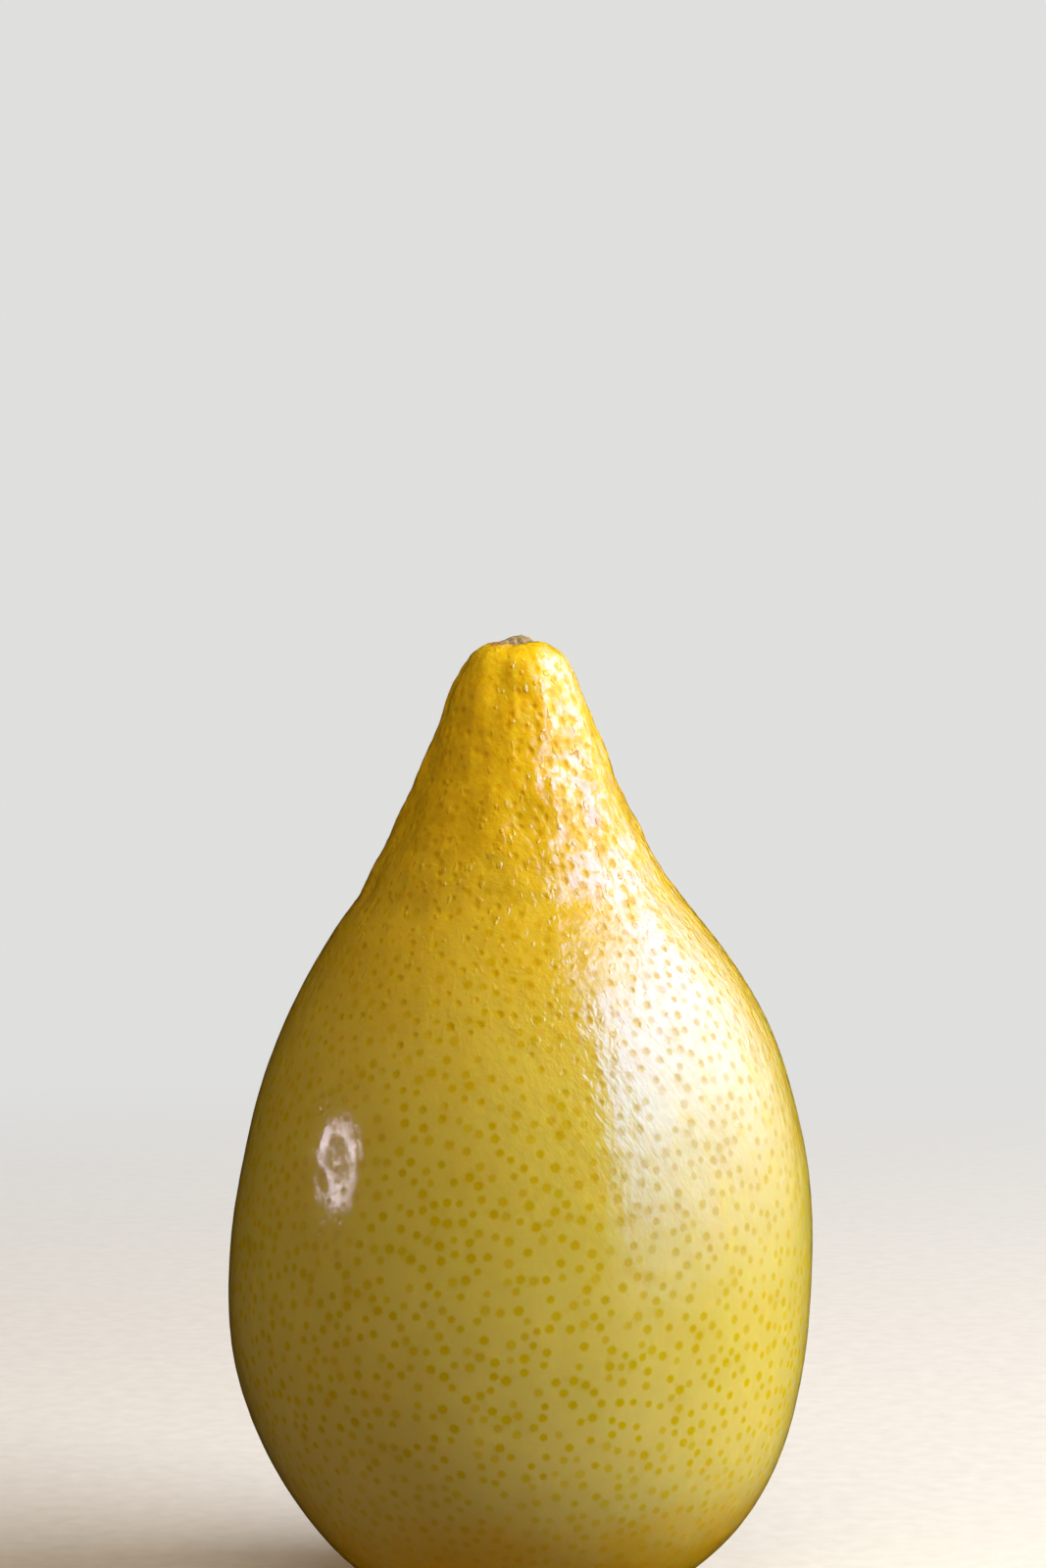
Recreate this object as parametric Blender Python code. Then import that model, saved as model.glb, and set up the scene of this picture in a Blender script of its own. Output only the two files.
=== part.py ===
"""Whole lemon standing upright on its broad end, narrow neck and dry scar on top.

Units are metres, +Z is up and the origin is the middle of the small flat spot
that the fruit stands on. The peel is one closed skin with dimples at its oil
glands, a rugged neck, a crease at the collar and a small crater at the tip.
"""
import math
import random

import bmesh
import bpy
from mathutils import Vector, noise
from mathutils.geometry import delaunay_2d_cdt
import numpy as np

MM = 0.001

# Outline of the fruit: half width and height, both in millimetres
REST_RADIUS = 8.5
BELLY_RADIUS = 30.2
BELLY_HEIGHT = 34.5
COLLAR_HEIGHT = 74.5
TIP_HEIGHT = 100.0
OUTLINE = [
    (REST_RADIUS, 0.0),
    (14.8, 2.1),
    (21.2, 7.0),
    (27.0, 16.2),
    (29.6, 26.0),
    (BELLY_RADIUS, BELLY_HEIGHT),
    (29.0, 46.5),
    (25.6, 58.5),
    (20.6, 67.8),
    (16.0, COLLAR_HEIGHT),
    (12.0, 81.5),
    (8.5, 89.8),
    (6.4, 95.3),
    (5.45, 97.2),
    (4.7, 98.25),
    (3.6, 98.95),
    (2.5, 99.3),
    (1.6, 99.2),
    (0.9, 98.8),
]
CRATER_FLOOR = 98.6

# Sideways drift of the middle line, in millimetres at a height
DRIFT = [
    (0.0, 0.0),
    (9.0, 0.4),
    (25.0, -0.35),
    (42.0, 0.05),
    (54.0, 0.3),
    (66.0, 0.1),
    (76.0, -0.55),
    (88.0, -0.65),
    (97.0, -0.55),
    (TIP_HEIGHT, -0.5),
]

# Slow swelling of the body, as a share of the radius, by waves round the fruit
SWELL_TWO = 0.008
SWELL_THREE = 0.007
SWELL_FIVE = 0.003

# Dimples at the oil glands, in millimetres: depth, radius of the floor and rise of the skin between
DIMPLE_DEPTH_BODY = 0.2
DIMPLE_DEPTH_NECK = 0.22
DIMPLE_RADIUS_BODY = 0.62
DIMPLE_RADIUS_NECK = 0.42
DIMPLE_LIP = 0.03
DIMPLE_CORNERS = 4
DIMPLE_SIZES = (0.7, 1.15)
DIMPLE_UNEVEN = (0.88, 1.12)

# Relief of the skin, in millimetres: crease at the collar, furrows and bumps of the neck, slow waves
COLLAR_DEPTH = 0.2
COLLAR_WIDTH = 1.8
COLLAR_WANDER = 0.9
FURROW_DEPTH = 0.34
FURROW_DENSITY = 2.6
FURROW_LENGTH = 28.0
BUMP_HEIGHT = 0.26
BUMP_LENGTH = 3.2
WAVE_HEIGHT = 0.13
WAVE_LENGTH = 10.0

# Heights over which one kind of skin turns into the next, in millimetres
NECK_BLEND = 9.0
BASE_BLEND = 12.0
TIP_BLEND = 4.5
TIP_CALM = 0.6

# Lumps round the crater at the tip, from the middle line: place, height and reach, in millimetres
LEFT_SHOULDER = ((-3.7, -1.0, 98.6), 0.15, 1.1)
FRONT_LIP = ((2.2, -1.2, 99.2), 0.2, 1.6)
BACK_RIM = ((0.1, 1.5, 99.3), 1.0, 1.5)

# Shallow dent in the left of the belly, in millimetres
DENT_PLACE = (-19.5, -21.5, 46.5)
DENT_DEPTH = 0.25
DENT_REACH = 3.2

# Least spacing of the oil glands, in millimetres: body, neck and the smooth tip
GAP_BODY = 3.65
GAP_NECK = 2.1
GAP_TIP = 0.75
GAP_BLEND = 8.0
PLAIN_ABOVE = 96.0
PLAIN_BLEND = 1.0
SEED = 27
DARTS = 40000

# Fineness: corners of the two end rings, steps along the outline, overlap at the seam in radians
REST_RING = 24
CRATER_RING = 8
CURVE_STEPS = 900
SLOPE_STEP = 0.01
SEAM_MARGIN = 1.0

# Colour and roughness of the peel
PEEL_COLOR = (0.72, 0.50, 0.05, 1.0)
PEEL_ROUGHNESS = 0.36


def smooth_curve(points, steps):
    """Natural cubic curve through the points, spaced by chord length."""
    knots = np.array(points)
    chord = np.linalg.norm(np.diff(knots, axis=0), axis=1)
    at = np.concatenate([[0.0], np.cumsum(chord)])
    count = len(knots)
    matrix = np.zeros((count, count))
    right = np.zeros((count, 2))
    matrix[0, 0] = 1.0
    matrix[-1, -1] = 1.0
    for i in range(1, count - 1):
        before = at[i] - at[i - 1]
        after = at[i + 1] - at[i]
        matrix[i, i - 1:i + 2] = (before, 2.0 * (before + after), after)
        right[i] = 6.0 * ((knots[i + 1] - knots[i]) / after - (knots[i] - knots[i - 1]) / before)
    bend = np.linalg.solve(matrix, right)
    run = np.linspace(0.0, at[-1], steps)
    cell = np.clip(np.searchsorted(at, run) - 1, 0, count - 2)
    width = (at[cell + 1] - at[cell])[:, None]
    low = (at[cell + 1] - run)[:, None]
    high = (run - at[cell])[:, None]
    curve = (bend[cell] * low ** 3 + bend[cell + 1] * high ** 3) / (6.0 * width)
    curve += (knots[cell] / width - bend[cell] * width / 6.0) * low
    curve += (knots[cell + 1] / width - bend[cell + 1] * width / 6.0) * high
    return curve


def blend(low, high, value):
    """Smooth step from 0 at low to 1 at high."""
    share = min(max((value - low) / (high - low), 0.0), 1.0)
    return share * share * (3.0 - 2.0 * share)


def bell(distance, reach):
    """Bell curve of height 1 that fades out over the reach."""
    return math.exp(-(distance / reach) ** 2)


class Skin:
    """The outline as a curve, and its map to a flat plan that keeps the shape of small things.

    On the plan a point is (turn about the middle line, level), both in radians.
    """

    def __init__(self):
        curve = smooth_curve(OUTLINE, CURVE_STEPS)
        self.radius = curve[:, 0]
        self.height = curve[:, 1]
        step = np.linalg.norm(np.diff(curve, axis=0), axis=1)
        self.along = np.concatenate([[0.0], np.cumsum(step)])
        stretch = step / (0.5 * (self.radius[1:] + self.radius[:-1]))
        self.plan = np.concatenate([[0.0], np.cumsum(stretch)])
        drift = smooth_curve(DRIFT, CURVE_STEPS)
        self.drift_height = drift[:, 0]
        self.drift = drift[:, 1]

    def at_plan(self, level):
        """Radius, height and outward slope of the outline at a level of the flat plan."""
        radius = float(np.interp(level, self.plan, self.radius))
        height = float(np.interp(level, self.plan, self.height))
        ahead = min(level + SLOPE_STEP, self.plan[-1])
        behind = max(level - SLOPE_STEP, 0.0)
        run = float(np.interp(ahead, self.plan, self.radius) - np.interp(behind, self.plan, self.radius))
        rise = float(np.interp(ahead, self.plan, self.height) - np.interp(behind, self.plan, self.height))
        size = math.hypot(run, rise)
        return radius, height, rise / size, -run / size

    def centre(self, height):
        """Sideways place of the middle line."""
        return float(np.interp(height, self.drift_height, self.drift))


def neck_share(height):
    """0 on the body, 1 on the neck."""
    return blend(COLLAR_HEIGHT - NECK_BLEND, COLLAR_HEIGHT + NECK_BLEND, height)


def relief(turn, height, place):
    """Height of the skin over the smooth outline, glands left out."""
    rugged = neck_share(height) * (1.0 - TIP_CALM * blend(TIP_HEIGHT - TIP_BLEND, TIP_HEIGHT, height))
    around = Vector((math.cos(turn), math.sin(turn), height / FURROW_LENGTH)) * FURROW_DENSITY
    furrow = noise.noise(around) * FURROW_DEPTH * rugged
    bumps = noise.noise(place / BUMP_LENGTH) * BUMP_HEIGHT * rugged
    waves = noise.noise(place / WAVE_LENGTH) * WAVE_HEIGHT * blend(0.0, BASE_BLEND, height)
    line = COLLAR_HEIGHT + COLLAR_WANDER * math.sin(turn + 1.0) + 0.5 * COLLAR_WANDER * math.sin(3.0 * turn)
    collar = -COLLAR_DEPTH * bell(height - line, COLLAR_WIDTH)
    dent = -DENT_DEPTH * bell((place - Vector(DENT_PLACE)).length, DENT_REACH)
    return furrow + bumps + waves + collar + dent


def lump_rise(place):
    """Upward rise of the lumps round the crater."""
    rise = 0.0
    for middle, size, reach in (LEFT_SHOULDER, FRONT_LIP, BACK_RIM):
        rise += size * bell((place - Vector(middle)).length, reach)
    return rise


def swell(turn, height):
    """Share added to the radius, so that the fruit isn't perfectly round."""
    share = SWELL_TWO * math.sin(2.0 * turn)
    share += SWELL_THREE * math.sin(3.0 * turn)
    share += SWELL_FIVE * math.sin(5.0 * turn)
    return share * blend(0.0, BASE_BLEND, height)


def skin_point(skin, turn, level, pit):
    """Place on the skin for a turn about the middle line and a level of the flat plan."""
    radius, height, out, up = skin.at_plan(level)
    reach = radius * (1.0 + swell(turn, height))
    place = Vector((reach * math.cos(turn), reach * math.sin(turn), height))
    lift = relief(turn, height, place) if level > 0.0 else 0.0
    place.z += lump_rise(place)
    place += Vector((math.cos(turn) * out, math.sin(turn) * out, up)) * (lift - pit)
    place.x += skin.centre(height)
    return place


def gap_at(height):
    """Least spacing of the glands at a height."""
    neck = blend(COLLAR_HEIGHT - GAP_BLEND, COLLAR_HEIGHT, height)
    tip = blend(PLAIN_ABOVE - PLAIN_BLEND, PLAIN_ABOVE + PLAIN_BLEND, height)
    gap = GAP_BODY + (GAP_NECK - GAP_BODY) * neck
    return gap + (GAP_TIP - gap) * tip


def scatter_glands(skin):
    """Random gland centres (turn, level) that keep their spacing on the skin."""
    dice = random.Random(SEED)
    bands = np.diff(skin.along) * 0.5 * (skin.radius[1:] + skin.radius[:-1])
    area = np.concatenate([[0.0], np.cumsum(bands)])
    cells = {}
    glands = []
    for _ in range(DARTS):
        level = float(np.interp(dice.random() * area[-1], area, skin.plan))
        turn = dice.random() * math.tau
        radius, height, _, _ = skin.at_plan(level)
        gap = gap_at(height)
        place = Vector((radius * math.cos(turn), radius * math.sin(turn), height))
        inside = 0.5 * gap / radius < level < skin.plan[-1] - 0.5 * gap / radius
        key = tuple(math.floor(value / GAP_BODY) for value in place)
        near = (cells.get((key[0] + i, key[1] + j, key[2] + k), ())
                for i in (-1, 0, 1) for j in (-1, 0, 1) for k in (-1, 0, 1))
        if inside and all((place - other).length > gap for group in near for other in group):
            cells.setdefault(key, []).append(place)
            glands.append((turn, level))
    return glands


def net_triangles(points):
    """Triangles between points of the plan, joined across the seam at a full turn."""
    whole = [Vector(point) for point in points]
    owner = list(range(len(points)))
    for index, (turn, level) in enumerate(points):
        if turn < SEAM_MARGIN:
            whole.append(Vector((turn + math.tau, level)))
            owner.append(index)
        if turn > math.tau - SEAM_MARGIN:
            whole.append(Vector((turn - math.tau, level)))
            owner.append(index)
    result = delaunay_2d_cdt(whole, [], [], 0, 1e-7)
    places, faces, origins = result[0], result[2], result[3]
    triangles = []
    for face in faces:
        leftmost = min(places[corner].x for corner in face)
        if 0.0 <= leftmost < math.tau:
            turn = sum(places[corner].x for corner in face) / 3.0
            level = sum(places[corner].y for corner in face) / 3.0
            triangles.append(([owner[origins[corner][0]] for corner in face], turn, level))
    return triangles


def dimple_points(skin):
    """Points of the plan with their depth: pit floors at the glands, raised skin between, plain tip."""
    dice = random.Random(SEED + 1)
    glands = scatter_glands(skin)
    ends = [(math.tau * i / REST_RING, 0.0) for i in range(REST_RING)]
    top = float(skin.plan[-1])
    ends += [(math.tau * i / CRATER_RING, top) for i in range(CRATER_RING)]
    points = [(turn, level, 0.0) for turn, level in ends]
    plain = set()
    for index, (turn, level) in enumerate(glands):
        radius, height, _, _ = skin.at_plan(level)
        if height > PLAIN_ABOVE:
            points.append((turn, level, 0.0))
            plain.add(index)
            continue
        neck = neck_share(height)
        size = dice.uniform(*DIMPLE_SIZES)
        depth = DIMPLE_DEPTH_BODY + (DIMPLE_DEPTH_NECK - DIMPLE_DEPTH_BODY) * neck
        reach = DIMPLE_RADIUS_BODY + (DIMPLE_RADIUS_NECK - DIMPLE_RADIUS_BODY) * neck
        start = dice.random() * math.tau
        for corner in range(DIMPLE_CORNERS):
            angle = start + math.tau * corner / DIMPLE_CORNERS
            edge = reach * size * dice.uniform(*DIMPLE_UNEVEN) / radius
            across = turn + edge * math.cos(angle)
            points.append((across % math.tau, level + edge * math.sin(angle), depth * size))
    for owners, turn, level in net_triangles(glands + ends):
        if not plain.issuperset(owners):
            points.append((turn % math.tau, level, -DIMPLE_LIP))
    return points


def build_peel(skin):
    """The closed skin with a dimple at every gland, a flat spot below and the crater on top."""
    points = dimple_points(skin)
    mesh = bmesh.new()
    corners = [mesh.verts.new(skin_point(skin, turn, level, pit) * MM) for turn, level, pit in points]
    for owners, _, _ in net_triangles([point[:2] for point in points]):
        mesh.faces.new([corners[owner] for owner in owners])
    rims = [edge for edge in mesh.edges if edge.is_boundary]
    rest = mesh.verts.new(Vector((skin.centre(0.0), 0.0, 0.0)) * MM)
    crater = mesh.verts.new(Vector((skin.centre(TIP_HEIGHT), 0.0, CRATER_FLOOR)) * MM)
    for edge in rims:
        hub = crater if edge.verts[0].co.z > COLLAR_HEIGHT * MM else rest
        mesh.faces.new((edge.verts[0], edge.verts[1], hub))
    bmesh.ops.recalc_face_normals(mesh, faces=mesh.faces)
    return mesh


def make_material():
    """Deep yellow waxy peel, a little glossy."""
    material = bpy.data.materials.new("lemon_peel")
    material.use_nodes = True
    shader = material.node_tree.nodes["Principled BSDF"]
    shader.inputs["Base Color"].default_value = PEEL_COLOR
    shader.inputs["Roughness"].default_value = PEEL_ROUGHNESS
    shader.inputs["Metallic"].default_value = 0.0
    return material


def main():
    for old in list(bpy.data.objects):
        bpy.data.objects.remove(old, do_unlink=True)
    mesh = build_peel(Skin())
    data = bpy.data.meshes.new("lemon")
    mesh.to_mesh(data)
    mesh.free()
    data.shade_smooth()
    lemon = bpy.data.objects.new("lemon", data)
    lemon.data.materials.append(make_material())
    bpy.context.scene.collection.objects.link(lemon)


main()
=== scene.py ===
"""Whole lemon with its oil glands, rugged neck and dry tip, in a plain pale studio.

The fine skin stands for the plain solid of the frame: the same outline, drift and
swell, nearly the same relief, and then every oil gland as a small pit of its own. The
form is worked out in millimetres, and its meshes are in metres.
"""

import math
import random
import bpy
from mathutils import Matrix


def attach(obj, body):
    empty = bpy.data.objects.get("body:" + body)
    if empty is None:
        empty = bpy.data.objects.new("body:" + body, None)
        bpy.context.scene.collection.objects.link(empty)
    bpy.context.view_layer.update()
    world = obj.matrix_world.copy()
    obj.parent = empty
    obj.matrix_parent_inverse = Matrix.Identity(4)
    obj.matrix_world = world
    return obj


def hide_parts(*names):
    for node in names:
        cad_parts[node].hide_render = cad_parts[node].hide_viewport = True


bl_info = {
    "name": "Lemon Dresser",
    "version": (1, 0, 0),
    "blender": (4, 5, 0),
    "location": "View3D > Sidebar > Lemon",
    "description": "Builds the fine skin of a lemon and a plain studio round it",
    "category": "Add Mesh",
}

import bmesh
import bpy
from mathutils import Vector, kdtree, noise
from mathutils.geometry import delaunay_2d_cdt
import numpy as np

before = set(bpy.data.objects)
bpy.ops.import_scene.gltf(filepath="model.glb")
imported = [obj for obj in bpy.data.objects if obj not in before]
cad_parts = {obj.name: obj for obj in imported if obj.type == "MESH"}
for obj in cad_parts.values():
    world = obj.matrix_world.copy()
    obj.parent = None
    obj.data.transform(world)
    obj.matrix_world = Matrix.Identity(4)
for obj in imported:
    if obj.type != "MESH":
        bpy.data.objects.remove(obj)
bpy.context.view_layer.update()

MM = 0.001
NODE = "lemon"

# Outline of the fruit: half width and height. Sizes are in millimetres down to the studio
REST_RADIUS = 8.5
BELLY_RADIUS = 30.2
BELLY_HEIGHT = 34.5
COLLAR_HEIGHT = 74.5
TIP_HEIGHT = 100.0
OUTLINE = [
    (REST_RADIUS, 0.0),
    (14.8, 2.1),
    (21.2, 7.0),
    (27.0, 16.2),
    (29.6, 26.0),
    (BELLY_RADIUS, BELLY_HEIGHT),
    (29.0, 46.5),
    (25.6, 58.5),
    (20.6, 67.8),
    (16.0, COLLAR_HEIGHT),
    (12.0, 81.5),
    (8.5, 89.8),
    (6.4, 95.3),
    (5.45, 97.2),
    (4.7, 98.25),
    (3.6, 98.95),
    (2.5, 99.3),
    (1.6, 99.2),
    (0.9, 98.8),
]
CRATER_FLOOR = 98.6

# Sideways drift of the middle line at a height
DRIFT = [
    (0.0, 0.0),
    (9.0, 0.4),
    (25.0, -0.35),
    (42.0, 0.05),
    (54.0, 0.3),
    (66.0, 0.1),
    (76.0, -0.55),
    (88.0, -0.65),
    (97.0, -0.55),
    (TIP_HEIGHT, -0.5),
]

# Slow swelling of the body: waves round the fruit, and the share of the radius that they add
SWELLS = ((2.0, 0.008), (3.0, 0.007), (5.0, 0.003))

# Relief of the skin: crease at the collar, furrows and bumps of the neck, slow waves
COLLAR_DEPTH = 0.2
COLLAR_WIDTH = 1.8
COLLAR_WANDER = 0.9
FURROW_DEPTH = 0.34
FURROW_DENSITY = 2.6
FURROW_LENGTH = 28.0
BUMP_HEIGHT = 0.26
BUMP_LENGTH = 3.2
WAVE_HEIGHT = 0.13
WAVE_LENGTH = 10.0

# Heights over which one kind of skin turns into the next
NECK_BLEND = 9.0
BASE_BLEND = 12.0
TIP_BLEND = 4.5
TIP_CALM = 0.6

# Lumps round the crater at the tip: place from the middle line, height and reach. The solid's back rim
# is a tenth higher
LEFT_SHOULDER = ((-3.7, -1.0, 98.6), 0.15, 1.1)
FRONT_LIP = ((2.2, -1.2, 99.2), 0.2, 1.6)
BACK_RIM = ((0.1, 1.5, 99.3), 0.9, 1.5)

# Dent in the left of the belly, which is deeper in the solid
DENT_PLACE = (-19.5, -21.5, 46.5)
DENT_DEPTH = 0.05
DENT_REACH = 3.2

# Finer relief than the solid has: height and length of each kind
GRAIN_HEIGHT = 0.022
GRAIN_LENGTH = 1.7
KNOB_HEIGHT = 0.1
KNOB_LENGTH = 1.25
RIDGE_HEIGHT = 0.12
RIDGE_DENSITY = 9.0
RIDGE_LENGTH = 5.0
WRINKLE_HEIGHT = 0.09
WRINKLE_LENGTH = 1.1
WRINKLE_DENSITY = 2.2
WRINKLE_REACH = 4.5
CRUMB_HEIGHT = 0.28
CRUMB_LENGTH = 0.55

# Dry scar round the crater and woody scar of the stem below: place and reach
SCAR_PLACE = (-0.3, 0.9, 99.6)
SCAR_REACH = 2.6
PINK_PLACE = (-1.7, -1.6, 99.3)
PINK_REACH = 1.3
STEM_PLACE = (0.0, 0.0, 0.0)
STEM_REACH = 3.6
STEM_DEPTH = 0.5
STEM_EDGE = 0.55
STEM_RAYS = 9
STEM_RAY_SHARE = 0.25

# Oil glands: number to a square millimetre, least spacing on body and neck, radii, strength, and the
# heights where they fade out
MM2_TO_CM2 = 100.0
GLANDS_BODY = 0.30
GLANDS_NECK = 0.43
GLAND_GAPS = (1.2, 1.0)
GLAND_RADII = (0.54, 0.76)
GLAND_EDGE = 1.25
GLAND_FORCE = (0.75, 1.2)
GLAND_FAINT = (2.0, 14.0)
GLAND_FAINT_SHARE = 0.45
GLAND_PLAIN_ABOVE = 97.4
GLAND_THIN = (91.0, 96.0)
GLAND_THIN_SHARE = 0.75

# Pits at the glands: radii, stretch along the neck, heights between which they deepen, and profile
PIT_RADII_BODY = (0.3, 0.46)
PIT_RADII_NECK = (0.36, 0.62)
PIT_TALL = 0.45
PIT_HEIGHTS = (20.0, 60.0)
PIT_SHARE_LOW = 0.35
PIT_LEAST_DEPTH = 0.5
PIT_RIM = 1.15
PIT_FADE = 1.3
PIT_ENDS = 1.7

# Fineness of the mesh: rings at a gland as (corners, share of its radius), spacing of the skin between
# and its most as a share of the half width, and the margin that the plan's seam is doubled over
RINGS = [(5, 0.5), (7, 1.0)]
RING_UNEVEN = 0.06
RING_ROOM = 0.46
GAP_BODY = 0.62
GAP_NECK = 0.42
GAP_TIP = 0.2
GAP_TIP_HEIGHTS = (95.0, 98.75)
GAP_OF_RADIUS = 0.6
ROW_LEAST = 0.6
ROW_SHARE = 0.866
JITTER = 0.24
FILL_CLEAR = 0.55
CORE_RADIUS = 0.25
CURVE_STEPS = 1800
SLOPE_STEP = 0.01
SEAM_MARGIN = 1.2
PLAN_TOLERANCE = 1e-7
SEED = 27

# Peel colours at shares of the fruit's height, and the clouds that shift them. The base and low body
# colours are lighter than the peel's own tone: painted bounce light from below
COLOR_STOPS = [
    (0.0, "base"),
    (0.07, "base"),
    (0.15, "low"),
    (0.40, "belly"),
    (0.57, "waist"),
    (0.70, "shoulder"),
    (0.82, "neck"),
    (0.95, "tip"),
]
CLOUD_SHIFT = 0.14

# Zones of the peel: low body, middle, upper body and neck, with the shares of the height that they fade
# in between. The middle one also fades in from left to right, between two widths
ZONES = [(0.12, 0.26), (0.37, 0.53), (0.50, 0.66), (0.66, 0.80)]
MIDDLE_WIDTHS = (-12.0, 2.0)

# Noises of the peel: size of their lumps, detail and roughness, and the stretch of tall and slanted ones
CLOUD_NOISE = (9.0, 3.0)
FLECK_NOISE = (0.9, 2.0)
DEEP_NOISE = (5.0, 2.0)
SCAR_NOISE = (0.8, 4.0)
CRUMB_NOISE = (0.45, 4.0, 0.6)
WORN_NOISE = (2.0, 3.0, 0.6)
CRACK_NOISE = (1.5, 2.0)
TALL_SCALE = (1.0, 1.0, 0.5)
SLANT_TURN = (0.0, math.radians(-35.0), 0.0)
SLANT_SCALE = (1.0, 1.0, 4.0)

# Deep clouds, flecks and gland dots. An edge is where a thing fades in, and a fade also says how far. The
# first of five shares holds all over, and each other one is added in its zone
DEEP_TINT = (1.0, 0.93, 0.72)
DEEP_FADE = (0.45, 0.75, 0.35)
FLECK_TINT = (0.93, 0.9, 0.75)
FLECK_RANGE = 0.5
FLECK_SHARE = 0.2
DOT_EDGE = (0.2, 0.66)
DOT_SHARES = (0.7, 0.3, 0.0, -0.15, -0.35)
BROWN_FADE = (0.8, 1.0, 0.5)

# Dry scars, with their edges as shares of their reach
SCAR_UNEVEN = 1.1
SCAR_EDGE = (0.65, 1.0)
PINK_EDGE = (0.6, 1.1)
PINK_SHARE = 0.8
STEM_UNEVEN = 0.3
STEM_RIM = (0.9, 1.08)
CRUMB_EDGE = (0.35, 0.7)
CRUMB_RISE = 0.25

# Roughness that each thing adds
CLOUD_ROUGH = 0.08
FLECK_ROUGH = 0.10
DOT_ROUGH = 0.14
NECK_ROUGH = -0.05
SCAR_ROUGH = 0.35

# Lumps too small for the mesh: stretch, size, detail, roughness, and height all over and in each zone
BUMP_LUMPS = [
    ("even", 0.35, 2.0, 0.5, (0.007, 0.0, 0.0, 0.015, 0.006)),
    ("even", 0.8, 3.0, 0.6, (0.016, 0.0, 0.012, 0.022, 0.05)),
    ("tall", 1.3, 2.0, 0.5, (0.03, 0.0, 0.06, 0.06, -0.07)),
    ("even", 4.5, 2.0, 0.5, (0.08, 0.0, 0.14, 0.10, -0.16)),
    ("slant", 0.55, 2.0, 0.5, (0.0, 0.0, 0.05, 0.0, 0.02)),
]

# Raised spots: size, edge and the same heights
BUMP_SPOTS = [
    (1.1, (0.58, 0.74), (0.0, 0.0, 0.0, 0.03, 0.02)),
    (0.8, (0.62, 0.77), (0.0, 0.0, 0.0, 0.05, 0.11)),
]
SPOT_DETAIL = 1.0

# Pores at the glands: edge, tone of the glands that have them, and depth
PORE_EDGE = (0.35, 0.95)
PORE_TONE = (0.3, 0.8)
PORE_LEAST = 0.004
PORE_DEPTHS = (0.0, 0.0, 0.0, 0.07, 0.03)

# Skin without wax: worn spots, cracks of the neck, open pores and gland dots
WORN_FADE = (0.5, 0.7, 0.35)
CRACK_EDGE = (0.0, 0.0022)
CRACK_SHARE = 0.8
HOLE_EDGE = (0.15, 0.45)
HOLE_TONE = (0.25, 0.45)
HOLE_SHARES = (0.0, 0.0, 0.0, 0.35, 0.5)
DOT_BARE_FADE = (0.2, 0.85, 0.42)

# Index of refraction, and how far red, green and blue light go in the rind
WAX_IOR = 1.5
DEPTH_BY_COLOR = (1.0, 0.55, 0.12)

# Studio, in metres and degrees
FOCUS_HEIGHT = 0.0849
PHOTO_SENSOR = 36.0
FLOOR_CORE = 0.1
FLOOR_RADIUS = 0.9
WALL_RADIUS = 1.5
WALL_SWEEP = 0.6
FLOOR_SIDES = 96
FLOOR_STEPS = 12
FLOOR_EDGE = (0.08, 0.45)
FIBRE_NOISE = (2.5, 4.0)
FIBRE_TINT = (0.82, 0.82, 0.82)
PAPER_ROUGHNESS = 0.9
PAPER_GLOSS = 0.1
LIGHT_CENTRE = Vector((0.0, 0.0, 0.06))

# Soft lights: name, side and rise in degrees, distance, size and colour
SOFT_LIGHTS = [
    ("soft", (75.0, 33.0), 0.9, (0.9, 0.7), (1.0, 1.0, 0.98)),
    ("top", (-12.0, 60.0), 0.9, (0.6, 0.6), (1.0, 0.85, 0.62)),
    ("rim", (120.0, 3.0), 0.7, (0.5, 0.3), (1.0, 0.80, 0.46)),
]

# Ring lamp that the wax reflects: open share of its width, side and rise, distance, uneven glow
LAMP_HOLE = 0.72
LAMP_SIDE = (-84.0, 9.3)
LAMP_DISTANCE = 0.6
LAMP_NOISE = {"Scale": 4.0, "Detail": 4.0}
LAMP_EDGE = (0.4, 0.58)
LAMP_DIM = (0.12, 0.12, 0.12)

# Window that the wax reflects: limits and edges in degrees round and over the fruit, and uneven glow
WINDOW_TURN = (20.0, 175.0)
WINDOW_RISE = (-25.0, 85.0)
WINDOW_LEFT = (33.0, 50.0)
WINDOW_RIGHT = (104.0, 160.0)
WINDOW_FOOT = (-18.0, 42.0)
WINDOW_HEAD = (36.0, 68.0)
WINDOW_DISTANCE = 0.9
WINDOW_COLUMNS = 24
WINDOW_ROWS = 16
WINDOW_NOISE = {"Scale": 6.0, "Detail": 2.0}
WINDOW_LEAST = 0.85
WINDOW_RANGE = 0.3


def smooth_curve(points, steps):
    """Natural cubic curve through the points, spaced by chord length."""
    knots = np.array(points)
    chord = np.linalg.norm(np.diff(knots, axis=0), axis=1)
    at = np.concatenate([[0.0], np.cumsum(chord)])
    count = len(knots)
    matrix = np.zeros((count, count))
    right = np.zeros((count, 2))
    matrix[0, 0] = 1.0
    matrix[-1, -1] = 1.0
    for i in range(1, count - 1):
        before = at[i] - at[i - 1]
        after = at[i + 1] - at[i]
        matrix[i, i - 1:i + 2] = (before, 2.0 * (before + after), after)
        right[i] = 6.0 * ((knots[i + 1] - knots[i]) / after - (knots[i] - knots[i - 1]) / before)
    bend = np.linalg.solve(matrix, right)
    run = np.linspace(0.0, at[-1], steps)
    cell = np.clip(np.searchsorted(at, run) - 1, 0, count - 2)
    width = (at[cell + 1] - at[cell])[:, None]
    low = (at[cell + 1] - run)[:, None]
    high = (run - at[cell])[:, None]
    curve = (bend[cell] * low ** 3 + bend[cell + 1] * high ** 3) / (6.0 * width)
    curve += (knots[cell] / width - bend[cell] * width / 6.0) * low
    curve += (knots[cell + 1] / width - bend[cell + 1] * width / 6.0) * high
    return curve


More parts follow.
